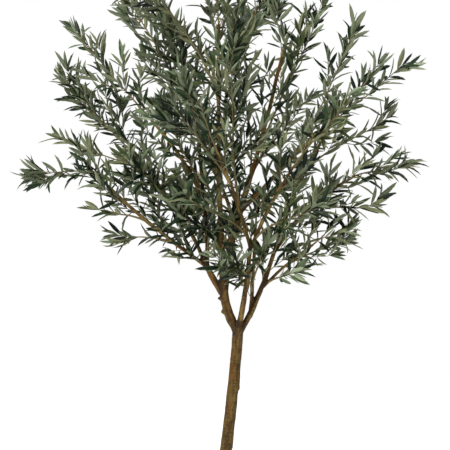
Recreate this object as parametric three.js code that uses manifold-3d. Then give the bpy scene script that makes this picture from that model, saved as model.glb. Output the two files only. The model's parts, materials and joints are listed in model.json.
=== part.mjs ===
// A young olive tree, grown as a standard: one slim stem with a root flare, a low fork,
// and a tall open crown of rising boughs that end in plumes of foliage.
// Millimetres, +Z up, +X to the viewer's right, front towards -Y. The origin is the centre
// of the flat cut under the trunk, at ground level.
import * as THREE from "three";
import { mergeVertices } from "three/addons/utils/BufferGeometryUtils.js";
import Module from "manifold-3d";

const wasm = await Module();
wasm.setup();

// ---- Driving dimensions ----

const SEAT_GAP = 0.35; // clearance wherever one solid meets another
const SOCKET_SHARE = 0.12; // share of a plume's length that its bough reaches into it
const SOCKET_MOST = 45; // and the most that this may be

const TRUNK = {
  name: "trunk",
  heading: 0, // the way it leans, in degrees: 0 is +X and 90 is +Y, the back
  rise: [82.5, 85.5], // degrees above level, at the foot and at the tip
  length: 535,
  radius: [22, 19],
  sides: 14,
  rings: 10,
};
const FLARE_HEIGHT = 95; // the root flare dies away over this height
const FLARE_SPREAD = 17; // and adds this to the radius at the ground
const FLARE_ROOTS = 5; // root ridges round the flare
const FLARE_RIDGE = 5; // how far the ridges stand out at the ground
const FORK_HEIGHT = 60; // the stem swells over this length below its fork
const FORK_SPREAD = 7; // by this much

const LIMB_SIDES = 6;
const LIMB_STEP = 115; // a ring every so often along a bough

// Each bough: the limb it springs from, how far along that limb its centre starts, its heading,
// its rise at the foot and at the tip, its length, and its radius at both ends.
const BOUGHS = [
  ["bough_left", "trunk", 0.95, 190, [58, 90], 190, [18, 15.5]],
  ["bough_middle", "trunk", 0.97, -58, [67, 84], 320, [11.5, 7.5]],
  ["bough_right", "trunk", 0.92, 4, [60, 74], 350, [12, 7.5]],

  ["bough_left_fan", "bough_left", 0.78, 188, [50, 68], 125, [14, 10]],
  ["bough_centre", "bough_left", 0.93, 172, [87, 91], 920, [12, 4]],
  ["bough_back", "bough_left", 0.7, 78, [52, 70], 330, [11, 7.5]],

  ["bough_left_low", "bough_left_fan", 0.9, 196, [34, 44], 500, [7.5, 4]],
  ["bough_left_mid", "bough_left_fan", 0.95, 168, [66, 48], 475, [7.5, 4]],
  ["bough_left_high", "bough_left_fan", 0.9, 128, [90, 68], 735, [8, 4.5]],
  ["bough_left_out", "bough_left_high", 0.33, 192, [64, 44], 350, [6.5, 4]],

  ["bough_centre_right", "bough_centre", 0.04, -20, [72, 76], 790, [9, 5]],
  ["bough_right_high", "bough_centre_right", 0.3, -12, [46, 44], 525, [7, 4]],

  ["bough_right_inner", "bough_right", 0.3, -28, [88, 84], 290, [8, 5]],
  ["bough_right_low", "bough_right", 0.55, -10, [48, 34], 240, [6.5, 4]],
  ["bough_right_mid", "bough_right", 0.95, 5, [60, 26], 395, [6.5, 4]],
  ["bough_right_up", "bough_right", 0.93, 28, [72, 54], 520, [6.5, 4]],

  ["bough_front_right", "bough_middle", 0.93, -48, [60, 46], 350, [6.5, 4]],
  ["bough_front_left", "bough_middle", 0.95, -118, [58, 46], 430, [6.5, 4]],

  ["bough_back_left", "bough_back", 0.93, 120, [58, 46], 430, [6.5, 4]],
  ["bough_back_right", "bough_back", 0.95, 55, [58, 44], 370, [6.5, 4]],
];

// Each plume of foliage: its name after "leaves_", the bough that carries it, how far along that
// bough its foot lies, its heading, its rise, its length and its greatest width.
const PLUMES = [
  ["left_low_tip", "bough_left_low", 0.83, 195, 13, 380, 140],
  ["left_low_under", "bough_left_low", 0.6, 197, 17, 360, 100],
  ["left_low_foot", "bough_left_low", 0.36, 192, 11, 350, 95],

  ["left_mid_tip", "bough_left_mid", 0.92, 178, 17, 400, 150],
  ["left_mid_up", "bough_left_mid", 0.64, 172, 50, 680, 170],
  ["left_mid_front", "bough_left_mid", 0.42, 228, 33, 420, 180],

  ["left_high_out", "bough_left_out", 0.71, 196, 49, 585, 180],
  ["left_high_up", "bough_left_high", 0.79, 154, 58, 590, 190],
  ["left_high_front", "bough_left_high", 0.44, 221, 49, 480, 190],
  ["left_high_foot", "bough_left_high", 0.16, 218, 34, 360, 160],

  ["centre_left", "bough_centre", 0.7, 196, 61, 700, 200],
  ["centre_top", "bough_centre", 0.89, 180, 82, 550, 200],
  ["centre_front", "bough_centre", 0.48, -115, 51, 480, 200],
  ["centre_low", "bough_centre", 0.24, -75, 40, 340, 170],

  ["centre_right_top", "bough_centre_right", 0.71, 95, 82, 700, 200],
  ["centre_right_out", "bough_centre_right", 0.64, 4, 71, 670, 180],
  ["centre_right_low", "bough_centre_right", 0.18, 14, 38, 360, 150],

  ["right_high_tip", "bough_right_high", 0.79, 5, 38, 440, 150],
  ["right_high_up", "bough_right_high", 0.67, 1, 68, 480, 160],

  ["right_low_tip", "bough_right_low", 0.8, 6, 24, 265, 105],
  ["right_low_under", "bough_right_low", 0.3, -28, 15, 180, 105],
  ["right_foot", "bough_right_inner", 0.62, -58, 38, 280, 140],

  ["right_mid_tip", "bough_right_mid", 0.93, 2, 12, 300, 125],
  ["right_mid_low", "bough_right_mid", 0.55, -13, 6, 330, 120],

  ["right_up_tip", "bough_right_up", 0.83, 6, 23, 365, 150],
  ["right_up_back", "bough_right_up", 0.65, 66, 41, 400, 180],
  ["right_up_foot", "bough_right_up", 0.2, -14, 30, 340, 150],

  ["front_right_tip", "bough_front_right", 0.86, -44, 42, 430, 210],
  ["front_right_low", "bough_front_right", 0.28, -40, 22, 360, 170],
  ["front_left_tip", "bough_front_left", 0.7, -130, 40, 430, 210],
  ["front_up", "bough_front_left", 0.52, -76, 76, 700, 240],
  ["front_left_low", "bough_front_left", 0.24, -138, 22, 360, 170],
  ["front_foot", "bough_middle", 0.6, -108, 24, 290, 150],

  ["back_left_tip", "bough_back_left", 0.7, 136, 40, 430, 210],
  ["back_up", "bough_back_left", 0.52, 68, 76, 700, 240],
  ["back_left_low", "bough_back_left", 0.24, 142, 22, 360, 170],
  ["back_right_tip", "bough_back_right", 0.84, 46, 42, 430, 210],
  ["back_right_low", "bough_back_right", 0.28, 38, 22, 360, 170],
  ["back_foot", "bough_back", 0.65, 112, 20, 300, 170],
];
const PLUME_LARGE = 425; // a plume longer than this has finer facets
const PLUME_DETAIL = { large: 2, small: 1 }; // 20 * (detail + 1)^2 facets
const PLUME_BUMPS = 0.13; // how uneven a plume's skin is, as a share of its radius

// ---- Curves ----

const radians = THREE.MathUtils.degToRad;

// A limb's centreline: an arc that keeps its heading while its rise changes evenly.
class LimbCurve extends THREE.Curve {
  constructor(foot, heading, rise, length) {
    super();
    this.foot = foot;
    this.level = new THREE.Vector3(Math.cos(radians(heading)), Math.sin(radians(heading)), 0);
    this.across = new THREE.Vector3(-this.level.y, this.level.x, 0);
    this.start = radians(rise[0]);
    this.turn = radians(rise[1] - rise[0]);
    this.span = length;
  }
  getPoint(t, target = new THREE.Vector3()) {
    const now = this.start + this.turn * t;
    const bend = this.turn / this.span;
    const out = (Math.sin(now) - Math.sin(this.start)) / bend;
    const up = (Math.cos(this.start) - Math.cos(now)) / bend;
    return target.copy(this.foot).addScaledVector(this.level, out).add(new THREE.Vector3(0, 0, up));
  }
  getTangent(t, target = new THREE.Vector3()) {
    const now = this.start + this.turn * t;
    return target.copy(this.level).multiplyScalar(Math.cos(now)).setZ(Math.sin(now));
  }
}

function unitVector(heading, rise) {
  const level = Math.cos(radians(rise));
  return new THREE.Vector3(
    level * Math.cos(radians(heading)),
    level * Math.sin(radians(heading)),
    Math.sin(radians(rise)),
  );
}

// ---- Solids ----

function solidOf(geometry) {
  const bare = geometry.clone();
  bare.deleteAttribute("normal");
  bare.deleteAttribute("uv");
  const merged = mergeVertices(bare, 1e-3);
  return new wasm.Manifold(
    new wasm.Mesh({
      numProp: 3,
      vertProperties: merged.attributes.position.array,
      triVerts: new Uint32Array(merged.index.array),
    }),
  );
}

// The largest body of a solid, because a cut can leave a sliver beside it.
function mainBody(solid) {
  return solid.decompose().reduce((a, b) => (b.volume() > a.volume() ? b : a));
}

function geometryOf(solid) {
  const mesh = solid.getMesh();
  const geometry = new THREE.BufferGeometry();
  geometry.setAttribute("position", new THREE.BufferAttribute(mesh.vertProperties.slice(), 3));
  geometry.setIndex(new THREE.BufferAttribute(mesh.triVerts.slice(), 1));
  geometry.computeVertexNormals();
  return geometry;
}

// A closed cylinder bent along a curve, with its radius from radiusAt(share along, angle round).
// extra makes it fatter and longer all round, for the clearance cut in a neighbour.
function limbGeometry(curve, radiusAt, sides, rings, extra = 0) {
  const geometry = new THREE.CylinderGeometry(1, 1, 1, sides, rings, false);
  const at = geometry.attributes.position;
  const lengthen = extra / curve.span;
  for (let i = 0; i < at.count; i++) {
    const share = at.getY(i) + 0.5;
    const angle = Math.atan2(at.getZ(i), at.getX(i));
    const onAxis = Math.hypot(at.getX(i), at.getZ(i)) < 0.5;
    const radius = onAxis ? 0 : radiusAt(share, angle) + extra;
    const along = share + (share === 1 ? lengthen : 0) - (share === 0 ? lengthen : 0);
    const side = new THREE.Vector3().crossVectors(curve.getTangent(share), curve.across);
    const point = curve
      .getPoint(along)
      .addScaledVector(curve.across, radius * Math.sin(angle))
      .addScaledVector(side, radius * Math.cos(angle));
    at.setXYZ(i, point.x, point.y, point.z);
  }
  return geometry;
}

function taper([foot, tip]) {
  return (share) => foot + (tip - foot) * share;
}

function trunkRadius(share, angle) {
  const height = share * TRUNK.length;
  const plain = taper(TRUNK.radius)(share);
  const nearGround = Math.max(0, 1 - height / FLARE_HEIGHT) ** 2;
  const ridge = FLARE_RIDGE * Math.cos(FLARE_ROOTS * angle + 0.6);
  const nearFork = Math.max(0, 1 - (TRUNK.length - height) / FORK_HEIGHT);
  const dome = height > TRUNK.length - 1 ? -FORK_SPREAD : 0;
  return plain + nearGround * (FLARE_SPREAD + ridge) + FORK_SPREAD * nearFork ** 2 + dome;
}

const limbs = new Map(); // name to { curve, solid, around: the same solid with clearance }

function addTrunk() {
  const curve = new LimbCurve(new THREE.Vector3(), TRUNK.heading, TRUNK.rise, TRUNK.length);
  const make = (extra) => limbGeometry(curve, trunkRadius, TRUNK.sides, TRUNK.rings, extra);
  // The lowest ring is square to the stem, so the foot is cut off level at the ground.
  const footRoom = 12;
  const rooted = make(0);
  const at = rooted.attributes.position;
  for (let i = 0; i < at.count; i++) if (at.getZ(i) < footRoom) at.setZ(i, 0);
  limbs.set(TRUNK.name, { curve, solid: solidOf(rooted), around: solidOf(make(SEAT_GAP)) });
}

function addBough([name, parent, from, heading, rise, length, radius]) {
  const foot = limbs.get(parent).curve.getPoint(from);
  const curve = new LimbCurve(foot, heading, rise, length);
  const rings = Math.max(3, Math.round(length / LIMB_STEP));
  const make = (extra) => solidOf(limbGeometry(curve, taper(radius), LIMB_SIDES, rings, extra));
  let solid = make(0);
  for (const other of limbs.values()) solid = solid.subtract(other.around);
  limbs.set(name, { curve, solid: mainBody(solid), around: make(SEAT_GAP) });
}

// A plume before its neighbours cut it: an egg along its axis.
function plumeShape([name, bough, from, heading, rise, length, width], index) {
  const axis = unitVector(heading, rise);
  const socket = Math.min(SOCKET_MOST, SOCKET_SHARE * length);
  const foot = limbs.get(bough).curve.getPoint(from);
  const centre = foot.addScaledVector(axis, length / 2 - socket);
  return { name: "leaves_" + name, centre, axis, length, width, index };
}

// How far an egg's skin lies from its centre in a given direction.
function reach({ axis, length, width }, way) {
  const along = way.dot(axis);
  const level = Math.sqrt(Math.max(0, 1 - along * along));
  return 1 / Math.hypot(along / (length / 2), level / (width / 2));
}

function bumps({ axis, index }, way) {
  const wave = Math.sin(5.1 * way.x + 1.7 * index) * Math.cos(4.3 * way.y - 2.3 * index);
  const cross = Math.sin(6.7 * way.z + 0.9 * index + 2.2 * way.x);
  return 1 + PLUME_BUMPS * (wave + 0.6 * cross) * (1 - Math.abs(way.dot(axis)) ** 6);
}

// Each plume keeps to its own side of the plane between it and every other plume.
function plumeGeometry(plume, plumes) {
  const walls = plumes
    .filter((other) => other !== plume)
    .map((other) => {
      const way = other.centre.clone().sub(plume.centre);
      const apart = way.length();
      way.normalize();
      const mine = reach(plume, way);
      const theirs = reach(other, way.clone().negate());
      return { way, at: (apart * mine) / (mine + theirs) - SEAT_GAP / 2 };
    });
  const detail = plume.length > PLUME_LARGE ? PLUME_DETAIL.large : PLUME_DETAIL.small;
  const geometry = new THREE.IcosahedronGeometry(1, detail);
  const at = geometry.attributes.position;
  const corner = new THREE.Vector3().fromBufferAttribute(at, 0).normalize();
  geometry.applyQuaternion(new THREE.Quaternion().setFromUnitVectors(corner, plume.axis));
  for (let i = 0; i < at.count; i++) {
    // The ball is drawn out along the axis, which puts a corner at each end of the egg.
    const way = new THREE.Vector3().fromBufferAttribute(at, i).multiplyScalar(plume.width / 2);
    const stretch = (plume.length / plume.width - 1) * way.dot(plume.axis);
    way.addScaledVector(plume.axis, stretch).normalize();
    const limits = walls.filter((w) => w.way.dot(way) > 0).map((w) => w.at / w.way.dot(way));
    const out = Math.min(reach(plume, way) * bumps(plume, way), ...limits);
    at.setXYZ(i, ...way.multiplyScalar(out).add(plume.centre));
  }
  return geometry;
}

// ---- The tree ----

const bark = new THREE.MeshStandardMaterial({ color: 0x7a5c35, roughness: 0.85, metalness: 0 });
const leaves = new THREE.MeshStandardMaterial({ color: 0x3c4f3a, roughness: 0.6, metalness: 0 });

const tree = new THREE.Group();

function addNode(name, solid, material) {
  const mesh = new THREE.Mesh(geometryOf(solid), material);
  mesh.name = name;
  tree.add(mesh);
}

addTrunk();
BOUGHS.forEach(addBough);
for (const [name, limb] of limbs) addNode(name, limb.solid, bark);

const plumes = PLUMES.map(plumeShape);
for (const plume of plumes) {
  let solid = solidOf(plumeGeometry(plume, plumes));
  for (const limb of limbs.values()) solid = solid.subtract(limb.around);
  addNode(plume.name, mainBody(solid), leaves);
}

export default tree;
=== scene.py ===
"""The looks of a young olive tree, grown round its fixed frame.

The frame's limbs give the centrelines that the barked wood follows, and its foliage solids give
the room that leaders, shoots and leaves grow to fill. Metres, +Z up, front towards -Y.
"""

import json
import math
import random

import bmesh
import bpy
import numpy as np
from bpy.props import (
    FloatProperty,
    FloatVectorProperty,
    IntProperty,
    PointerProperty,
)
from bpy.types import Operator, Panel, PropertyGroup
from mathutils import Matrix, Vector, noise
from mathutils.bvhtree import BVHTree
from mathutils.kdtree import KDTree

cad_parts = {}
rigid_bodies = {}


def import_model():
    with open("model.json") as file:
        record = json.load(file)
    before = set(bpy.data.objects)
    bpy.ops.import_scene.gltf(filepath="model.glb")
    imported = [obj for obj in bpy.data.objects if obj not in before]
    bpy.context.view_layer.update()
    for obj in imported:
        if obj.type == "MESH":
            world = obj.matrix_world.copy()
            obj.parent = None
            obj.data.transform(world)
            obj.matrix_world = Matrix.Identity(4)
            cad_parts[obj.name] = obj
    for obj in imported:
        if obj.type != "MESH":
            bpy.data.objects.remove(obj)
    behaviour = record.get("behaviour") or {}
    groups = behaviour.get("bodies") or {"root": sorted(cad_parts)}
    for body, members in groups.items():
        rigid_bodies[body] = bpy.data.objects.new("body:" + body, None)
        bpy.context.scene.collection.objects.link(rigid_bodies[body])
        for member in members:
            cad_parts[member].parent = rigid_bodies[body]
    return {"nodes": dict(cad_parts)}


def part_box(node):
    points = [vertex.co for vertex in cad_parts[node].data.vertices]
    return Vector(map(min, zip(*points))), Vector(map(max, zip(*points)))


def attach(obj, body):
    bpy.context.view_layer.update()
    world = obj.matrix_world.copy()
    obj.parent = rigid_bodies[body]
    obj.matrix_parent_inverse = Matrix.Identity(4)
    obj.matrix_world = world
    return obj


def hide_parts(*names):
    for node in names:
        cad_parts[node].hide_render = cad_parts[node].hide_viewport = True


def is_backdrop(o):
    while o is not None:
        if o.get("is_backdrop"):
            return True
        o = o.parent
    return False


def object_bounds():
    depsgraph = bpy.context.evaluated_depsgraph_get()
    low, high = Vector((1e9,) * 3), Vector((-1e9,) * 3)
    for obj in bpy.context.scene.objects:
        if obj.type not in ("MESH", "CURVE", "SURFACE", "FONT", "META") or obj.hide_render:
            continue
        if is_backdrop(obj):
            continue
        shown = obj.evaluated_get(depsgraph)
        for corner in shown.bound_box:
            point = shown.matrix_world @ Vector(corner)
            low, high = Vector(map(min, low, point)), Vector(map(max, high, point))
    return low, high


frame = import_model()
CAD_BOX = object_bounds()

bl_info = {
    "name": "Olive Tree",
    "version": (1, 0, 0),
    "blender": (4, 5, 0),
    "location": "View3D > Sidebar > Olive Tree",
    "description": "Grows bark, twigs and leaves round the frame of a young olive tree",
    "category": "Object",
}

UP = Vector((0, 0, 1))
WHITE = (1, 1, 1, 1)
NOISE_SEED = 3  # without one the noise starts from the clock, and each run sways differently
LEAF_ROOM = 0.042  # shoots stay this far inside the frame's box, so that their leaves do too
REGIONS = ("left", "centre", "right", "front", "back")  # the foliage is joined by these


# ---- Settings ----


class OliveStageSettings(PropertyGroup):
    """The floor, the light and the camera."""

    floor_radius: FloatProperty(
        name="Floor radius", description="How far the floor runs", default=3.2, unit="LENGTH"
    )
    floor_colour: FloatVectorProperty(
        name="Floor colour",
        description="Colour of the floor and the sky",
        default=(0.94, 0.94, 0.93),
        subtype="COLOR",
    )
    floor_glow: FloatProperty(
        name="Floor glow", description="Light that the floor gives off", default=0.75
    )
    sky_light: FloatProperty(
        name="Sky light", description="Strength of the even light from all round", default=0.26
    )
    key_light: FloatProperty(
        name="Key light", description="Power of the large lamp", default=205, unit="POWER"
    )
    fill_light: FloatProperty(
        name="Fill light", description="Power of the small lamp", default=15, unit="POWER"
    )
    distance: FloatProperty(
        name="Distance", description="From the camera to the trunk", default=4.375, unit="LENGTH"
    )
    eye_height: FloatProperty(
        name="Eye height", description="Height of the level camera", default=0.8855, unit="LENGTH"
    )
    aside: FloatProperty(
        name="Aside", description="How far right the camera stands", default=0.00875, unit="LENGTH"
    )
    lens: FloatProperty(
        name="Lens", description="Focal length in millimetres", default=100, unit="CAMERA"
    )


class OliveWoodSettings(PropertyGroup):
    """The barked trunk and boughs."""

    grain: FloatProperty(
        name="Grain", description="Size of the finest bump in the bark", default=0.0022,
        unit="LENGTH",
    )
    sway: FloatProperty(
        name="Sway", description="How far the boughs wander off an even curve", default=0.007,
        unit="LENGTH",
    )
    relief: FloatProperty(
        name="Relief", description="Depth of the bark's furrows as a share of the girth",
        default=0.085,
    )
    old_colour: FloatVectorProperty(
        name="Old bark", description="Colour of the trunk's bark", default=(0.094, 0.053, 0.007),
        subtype="COLOR",
    )
    young_colour: FloatVectorProperty(
        name="Young bark", description="Colour of the upper boughs", default=(0.290, 0.195, 0.052),
        subtype="COLOR",
    )
    # the dark colour of the bark's rings, also used as painted shade in the furrows and in the
    # crotches between limbs
    furrow_and_shade_colour: FloatVectorProperty(
        name="Furrow", description="Colour deep in the bark", default=(0.024, 0.011, 0.003),
        subtype="COLOR",
    )


class OliveGrowthSettings(PropertyGroup):
    """The rule by which leaders and shoots branch."""

    seed: IntProperty(name="Seed", description="Starts every random draw", default=13)
    leader_gap: FloatProperty(
        name="Leader gap", description="Length of leader between side shoots", default=0.036,
        unit="LENGTH",
    )
    bough_gap: FloatProperty(
        name="Bough gap", description="Length of bough between side shoots", default=0.050,
        unit="LENGTH",
    )
    bough_limit: FloatProperty(
        name="Bough limit", description="Boughs thicker than this bear no shoots",
        default=0.0095, unit="LENGTH",
    )
    shoot_gap: FloatProperty(
        name="Shoot gap", description="Length of shoot between side twigs", default=0.050,
        unit="LENGTH",
    )
    shoot_angle: FloatProperty(
        name="Shoot angle", description="How far a side shoot opens from its leader",
        default=math.radians(36), unit="ROTATION",
    )
    shoot_length: FloatProperty(
        name="Shoot length", description="The longest side shoot", default=0.21, unit="LENGTH"
    )
    lift: FloatProperty(
        name="Lift", description="How strongly shoots bend up to the light", default=0.10
    )
    skin: FloatProperty(
        name="Skin", description="Some shoots stop up to this far inside their plume's skin",
        default=0.030, unit="LENGTH",
    )
    stray: FloatProperty(
        name="Stray", description="Some shoots run up to this far out of their plume",
        default=0.012, unit="LENGTH",
    )
    bough_stray: FloatProperty(
        name="Bough stray", description="Shoots straight off a bough may run this far outside",
        default=0.150, unit="LENGTH",
    )
    crowd_cell: FloatProperty(
        name="Crowd cell", description="Side of the cubes in which shoots compete for light",
        default=0.075, unit="LENGTH",
    )
    crowd_limit: FloatProperty(
        name="Crowd limit", description="A shoot dies where cubes already hold this many points",
        default=2.7,
    )


class OliveLeafSettings(PropertyGroup):
    """The leaves and how they sit on a shoot."""

    length: FloatProperty(
        name="Length", description="Length of a grown leaf", default=0.075, unit="LENGTH"
    )
    width: FloatProperty(
        name="Width", description="Width of a grown leaf", default=0.0142, unit="LENGTH"
    )
    pair_gap: FloatProperty(
        name="Pair gap", description="Length of shoot between pairs of leaves", default=0.0210,
        unit="LENGTH",
    )
    angle: FloatProperty(
        name="Angle", description="How far a leaf opens from its shoot",
        default=math.radians(38), unit="ROTATION",
    )
    turn_up: FloatProperty(
        name="Turn up", description="How far leaves turn their faces to the light", default=0.45
    )


# Top and underside of a leaf, from the deep shade tints to the pale tips.
LEAF_TINTS = (
    ("deep", (0.006, 0.013, 0.004), (0.125, 0.152, 0.084)),
    ("dark", (0.012, 0.028, 0.010), (0.160, 0.190, 0.112)),
    ("green", (0.027, 0.053, 0.020), (0.190, 0.218, 0.128)),
    ("olive", (0.062, 0.082, 0.026), (0.220, 0.235, 0.122)),
    ("sage", (0.140, 0.190, 0.098), (0.320, 0.370, 0.240)),
)
TINT_SHARES = (28, 29, 20, 14, 9)
TWIG_TINTS = (
    ("brown", (0.190, 0.150, 0.060)),
    ("tan", (0.210, 0.175, 0.085)),
    ("green", (0.180, 0.180, 0.090)),
)


# How thickly each plume grows, against 1 for an even one. The numbers were worked out by a
# tuning program from the cover of each plume, and rounded.
FULLNESS = {
    "left_low_tip": 1.6,
    "left_low_under": 0.5,
    "left_low_foot": 0.8,
    "left_mid_tip": 0.45,
    "left_mid_up": 1.7,
    "left_mid_front": 1.7,
    "left_high_out": 0.8,
    "left_high_up": 2.9,
    "left_high_front": 1.4,
    "left_high_foot": 2.9,
    "centre_left": 0.6,
    "centre_top": 1.3,
    "centre_front": 0.4,
    "centre_low": 0.5,
    "centre_right_top": 3.3,
    "centre_right_out": 0.9,
    "centre_right_low": 0.55,
    "right_high_tip": 0.45,
    "right_high_up": 0.25,
    "right_low_tip": 1.4,
    "right_low_under": 1.6,
    "right_foot": 0.9,
    "right_mid_tip": 1.8,
    "right_mid_low": 1.4,
    "right_up_tip": 0.9,
    "right_up_back": 0.35,
    "right_up_foot": 2.1,
    "front_right_tip": 0.8,
    "front_right_low": 1.2,
    "front_left_tip": 0.55,
    "front_up": 2.3,
    "front_left_low": 0.7,
    "front_foot": 1.4,
    "back_left_tip": 0.8,
    "back_left_low": 0.7,
    "back_right_tip": 0.45,
    "back_right_low": 0.65,
    "back_foot": 0.9,
}


# ---- Small helpers ----


def own_copy(name):
    """A bmesh copy of a frame node, with the doubles of its loose triangles merged."""
    copy = bmesh.new()
    copy.from_mesh(frame["nodes"][name].data)
    bmesh.ops.remove_doubles(copy, verts=copy.verts, dist=1e-5)
    return copy


def new_object(name, mesh):
    made = bpy.data.objects.new(name, mesh)
    bpy.context.scene.collection.objects.link(made)
    return made


def baked(source, name):
    """The evaluated mesh of an object as a plain object, and the source removed."""
    bpy.context.view_layer.update()
    graph = bpy.context.evaluated_depsgraph_get()
    mesh = bpy.data.meshes.new_from_object(source.evaluated_get(graph))
    mesh.name = name
    old = source.data
    bpy.data.objects.remove(source)
    if old.users == 0:
        bpy.data.meshes.remove(old)
    return new_object(name, mesh)


def sideways(way):
    """Two unit vectors square to a direction and to each other."""
    other = Vector((1, 0, 0)) if abs(way.x) < 0.7 else Vector((0, 1, 0))
    u = way.cross(other).normalized()
    return u, way.cross(u).normalized()


def smooth_step(low, high, value):
    share = min(1.0, max(0.0, (value - low) / (high - low)))
    return share * share * (3 - 2 * share)


def fill_attribute(mesh, name, kind, values, key="value", domain="POINT"):
    attribute = mesh.attributes.new(name, kind, domain)
    attribute.data.foreach_set(key, np.asarray(values, dtype=np.float32).ravel())


def fill_whole_numbers(mesh, name, values):
    attribute = mesh.attributes.new(name, "INT", "POINT")
    attribute.data.foreach_set("value", np.asarray(values, dtype=np.int32))


def along(points, gap, start=0.0):
    """(point, direction, share) at even gaps of length along a line of points."""
    lengths = [(b - a).length for a, b in zip(points, points[1:])]
    whole = sum(lengths)
    at, passed, piece = start, 0.0, 0
    while at < whole and piece < len(lengths):
        while piece < len(lengths) and passed + lengths[piece] < at:
            passed += lengths[piece]
            piece += 1
        if piece == len(lengths):
            break
        share = (at - passed) / lengths[piece]
        way = (points[piece + 1] - points[piece]).normalized()
        yield points[piece].lerp(points[piece + 1], share), way, at / whole
        at += gap


# ---- What the frame says ----


class Limb:
    """The centreline and the girth of one limb of the frame."""

    def __init__(self, name):
        copy = own_copy(name)
        corners = np.array([v.co[:] for v in copy.verts])
        edges = np.array([[v.index for v in e.verts] for e in copy.edges])
        copy.free()
        self.name = name
        self.points, self.radii = self.sections(corners, edges)

    @staticmethod
    def sections(corners, edges, step=0.024, end=0.004, cut=0.026):
        """Centres and radii of the limb's cross sections, from where it is whole to its tip."""
        middle = corners.mean(0)
        axis = np.linalg.svd(corners - middle)[2][0]
        height = (corners - middle) @ axis
        low, high = height.min(), height.max()

        def section(at):
            a, b = height[edges[:, 0]], height[edges[:, 1]]
            crossed = (a - at) * (b - at) < 0
            share = ((at - a[crossed]) / (b[crossed] - a[crossed]))[:, None]
            cut_points = corners[edges[crossed, 0]] * (1 - share)
            cut_points = cut_points + corners[edges[crossed, 1]] * share
            centre = (cut_points.min(0) + cut_points.max(0)) / 2
            centre = (centre + cut_points.mean(0)) / 2
            return centre, np.linalg.norm(cut_points - centre, axis=1).mean()

        if section(low + 0.2 * (high - low))[1] < section(high - 0.2 * (high - low))[1]:
            height, low, high = -height, -high, -low
        low = low + (end if corners[:, 2].min() < end else cut)
        count = max(4, round((high - end - low) / step) + 1)
        found = [section(at) for at in np.linspace(low, high - end, count)]
        return [Vector(c) for c, _ in found], [float(r) for _, r in found]


def rooted(limbs):
    """Carries each bough's foot back to the centreline of the limb that it springs from."""
    for limb in limbs:
        if limb.name == "trunk":
            limb.points[0].z = 0
            continue
        others = [p for other in limbs if other is not limb for p in dense(other.points, 0.006)]
        tree = KDTree(len(others))
        for i, p in enumerate(others):
            tree.insert(p, i)
        tree.balance()
        back = (limb.points[0] - limb.points[1]).normalized()
        trials = [limb.points[0] + back * 0.003 * i for i in range(1, 30)]
        gaps = [tree.find(p)[2] for p in trials]
        best = gaps.index(min(gaps))
        foot = trials[best].lerp(others[tree.find(trials[best])[1]], 0.7)
        limb.points.insert(0, foot)
        limb.radii.insert(0, limb.radii[0])
    return limbs


def dense(points, step):
    """The same line with a smooth curve through its points, a point every step or so."""
    out = []
    padded = [2 * points[0] - points[1], *points, 2 * points[-1] - points[-2]]
    for a, b, c, d in zip(padded, padded[1:], padded[2:], padded[3:]):
        count = max(1, round((c - b).length / step))
        for i in range(count):
            t = i / count
            out.append(
                0.5 * (2 * b + (c - a) * t + (2 * a - 5 * b + 4 * c - d) * t * t
                       + (3 * b - a - 3 * c + d) * t ** 3)
            )
    out.append(points[-1].copy())
    return out


TRUNK_SWAY = 0.15  # share of the sway that the trunk has
BOUGH_SWAY = 0.85  # and what comes to it between these heights above the fork
SWAY_RISE = (0.06, 0.36)
STILL_FOOT = 0.1  # the sway comes in over this height from the ground
WIDE_WAVES = 4.6  # waves to a metre of the slow sway
TIGHT_WAVES = 15  # and of the quick one,
TIGHT_SHARE = 0.25  # which has this share of the slow one's reach
RISE_SHARE = 0.3  # how far points sway up and down, against sideways


def swayed(point, fork_height, sway):
    """A living tree's limbs wander: every point shifts by a smooth field, more above the fork."""
    low, high = (fork_height + rise for rise in SWAY_RISE)
    amount = sway * (TRUNK_SWAY + BOUGH_SWAY * smooth_step(low, high, point.z))
    amount *= smooth_step(0.0, STILL_FOOT, point.z)
    wide = noise.noise_vector(point * WIDE_WAVES + Vector((3.1, 8.2, 5.7)))
    tight = noise.noise_vector(point * TIGHT_WAVES + Vector((1.9, 4.4, 7.7)))
    shift = wide + tight * TIGHT_SHARE
    shift.z *= RISE_SHARE
    return point + shift * amount


class Mass:
    """One foliage solid of the frame, which a plume of shoots fills."""

    def __init__(self, name):
        copy = own_copy(name)
        self.name = name
        self.region = next(r for r in REGIONS if name.startswith("leaves_" + r))
        self.corners = [v.co.copy() for v in copy.verts]
        self.low, self.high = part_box(name)
        self.fullness = FULLNESS.get(name.removeprefix("leaves_"), 1.0)
        self.skin = BVHTree.FromBMesh(copy)
        copy.free()

    def depth(self, point, reach=0.0):
        """How far inside the solid a point lies, or less than nothing outside."""
        if any(not self.low[k] - reach < point[k] < self.high[k] + reach for k in range(3)):
            return -math.inf
        hit, normal, _, gap = self.skin.find_nearest(point)
        return -gap if (point - hit).dot(normal) > 0 else gap

    def ends(self):
        """The two corners furthest apart along the solid's long axis."""
        corners = np.array([c[:] for c in self.corners])
        axis = np.linalg.svd(corners - corners.mean(0))[2][0]
        height = corners @ axis
        return self.corners[int(height.argmin())], self.corners[int(height.argmax())]


class Crown:
    """All the foliage solids, as the one room that the shoots share."""

    def __init__(self, masses):
        self.masses = masses

    def holds(self, point, stray):
        """Whether a point lies inside a solid, or no further outside one than it may stray."""
        low, high = CAD_BOX
        if any(not low[k] + LEAF_ROOM < point[k] < high[k] - LEAF_ROOM for k in range(3)):
            return False
        return any(m.depth(point, max(stray, 0.0)) > -stray for m in self.masses)

    def nearest(self, point):
        """The solid whose skin lies nearest to a point."""
        return min(self.masses, key=lambda m: m.skin.find_nearest(point)[3])


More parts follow.
